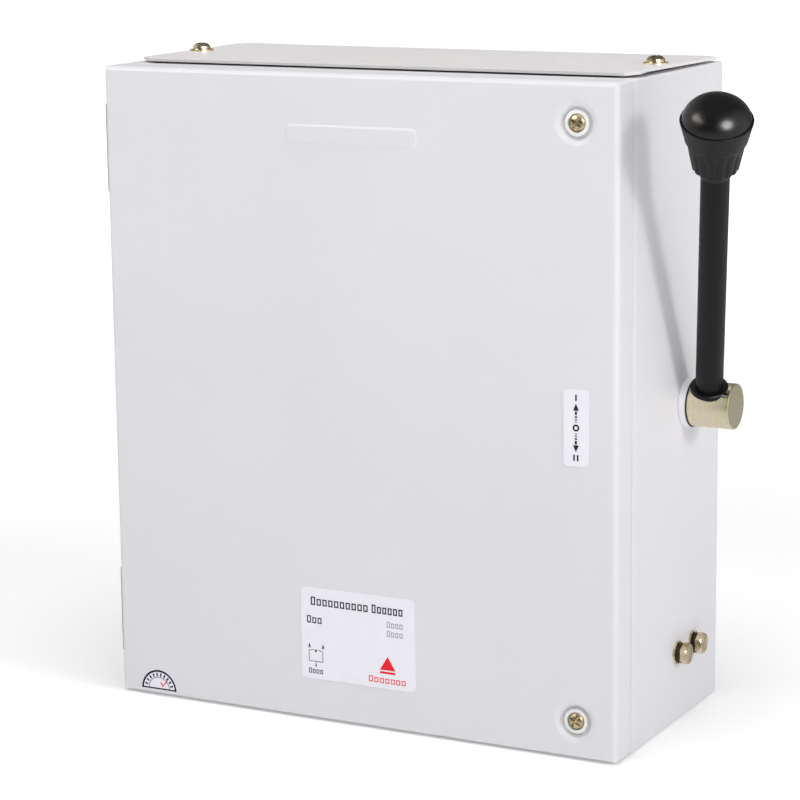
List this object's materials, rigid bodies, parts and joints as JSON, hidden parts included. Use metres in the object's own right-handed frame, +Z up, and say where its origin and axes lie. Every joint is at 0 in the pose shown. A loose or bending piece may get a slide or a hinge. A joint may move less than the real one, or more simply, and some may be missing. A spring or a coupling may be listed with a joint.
{
  "type": "manual transfer switch",
  "caption": "Wall-mounted manual transfer switch: a light grey steel enclosure with a hinged door, a side lever with a black ball knob, and a double-throw knife switch inside.",
  "frame": {"origin": "centre of the four wall fixing holes, on the enclosure's back face", "axes": "+Z up, -Y out of the door's face, +X towards the side that the lever is on"},
  "size_m": [0.3527, 0.1373, 0.3367],
  "materials": {
    "grey_paint": "satin powder coat",
    "plate_paint": "satin powder coat",
    "black_rubber": "matt",
    "yellow_zinc": "yellow zinc plating",
    "bright_zinc": "bright zinc plating",
    "hinge_steel": "dull zinc plating",
    "shaft_steel": "turned, yellow zinc plating",
    "spring_steel": "dark spring steel",
    "white_plastic": "satin",
    "bush_plastic": "satin",
    "black_steel": "satin black paint",
    "black_fibre": "matt",
    "black_ball": "polished",
    "black_cup": "satin",
    "base_moulding": "moulded phenolic",
    "barrier_board": "laminated board",
    "red_insulation": "moulded",
    "copper": "bright copper",
    "bronze": "sintered bronze",
    "label": "printed film"
  },
  "bodies": {
    "enclosure": {"enclosure_body": "grey_paint", "upper_gland_plate": "plate_paint", "upper_gland_gasket": "black_rubber", "lower_gland_plate": "plate_paint", "lower_gland_gasket": "black_rubber", "gland_screws": "yellow_zinc", "gland_nuts": "bright_zinc", "hinge_body_leaves": "hinge_steel", "hinge_body_rivets": "bright_zinc", "hinge_pins": "hinge_steel", "shaft_bush": "bush_plastic", "bush_nut": "bright_zinc", "latch_brackets": "grey_paint", "latch_nuts": "bright_zinc", "earth_bolts": "yellow_zinc", "earth_plain_washers": "yellow_zinc", "earth_spring_washers": "spring_steel", "earth_nuts": "yellow_zinc", "switch_base": "base_moulding", "base_standoffs": "bright_zinc", "base_screws": "bright_zinc", "left_frame_plate": "bright_zinc", "right_frame_plate": "bright_zinc", "frame_screws": "bright_zinc", "shaft_bearings": "bronze", "tie_rods": "bright_zinc", "upper_jaws": "copper", "lower_jaws": "copper", "load_clips": "copper", "terminal_screws": "yellow_zinc", "phase_barriers": "barrier_board"},
    "door": {"door_panel": "grey_paint", "hinge_door_leaves": "hinge_steel", "hinge_door_rivets": "bright_zinc", "latch_washers": "white_plastic", "rating_plate": "label", "position_label": "label", "inspection_sticker": "label"},
    "latch_upper": {"latch_screw_upper": "yellow_zinc", "latch_clip_upper": "spring_steel"},
    "latch_lower": {"latch_screw_lower": "yellow_zinc", "latch_clip_lower": "spring_steel"},
    "lever": {"operating_shaft": "shaft_steel", "thrust_washer": "black_fibre", "shaft_circlips": "spring_steel", "insulating_sleeve": "red_insulation", "moving_blades": "copper", "lever_rod": "black_steel", "rod_collar": "black_steel", "rod_lock_pin": "bright_zinc", "ball_cup": "black_cup", "ball_knob": "black_ball"}
  },
  "joints": [
    {"name": "lever_turn", "type": "hinge", "parent": "enclosure", "child": "lever", "pos_m": [0, -0.044, -0.0015], "axis": [1, 0, 0], "range_deg": [0, 125]},
    {"name": "door_swing", "type": "hinge", "parent": "enclosure", "child": "door", "pos_m": [-0.1459, -0.114, 0], "axis": [0, 0, -1], "range_deg": [0, 180]},
    {"name": "latch_upper_turn", "type": "hinge", "parent": "door", "child": "latch_upper", "pos_m": [0.12, -0.1288, 0.1455], "axis": [0, -1, 0], "continuous": true},
    {"name": "latch_lower_turn", "type": "hinge", "parent": "door", "child": "latch_lower", "pos_m": [0.12, -0.1288, -0.1455], "axis": [0, -1, 0], "continuous": true}
  ]
}
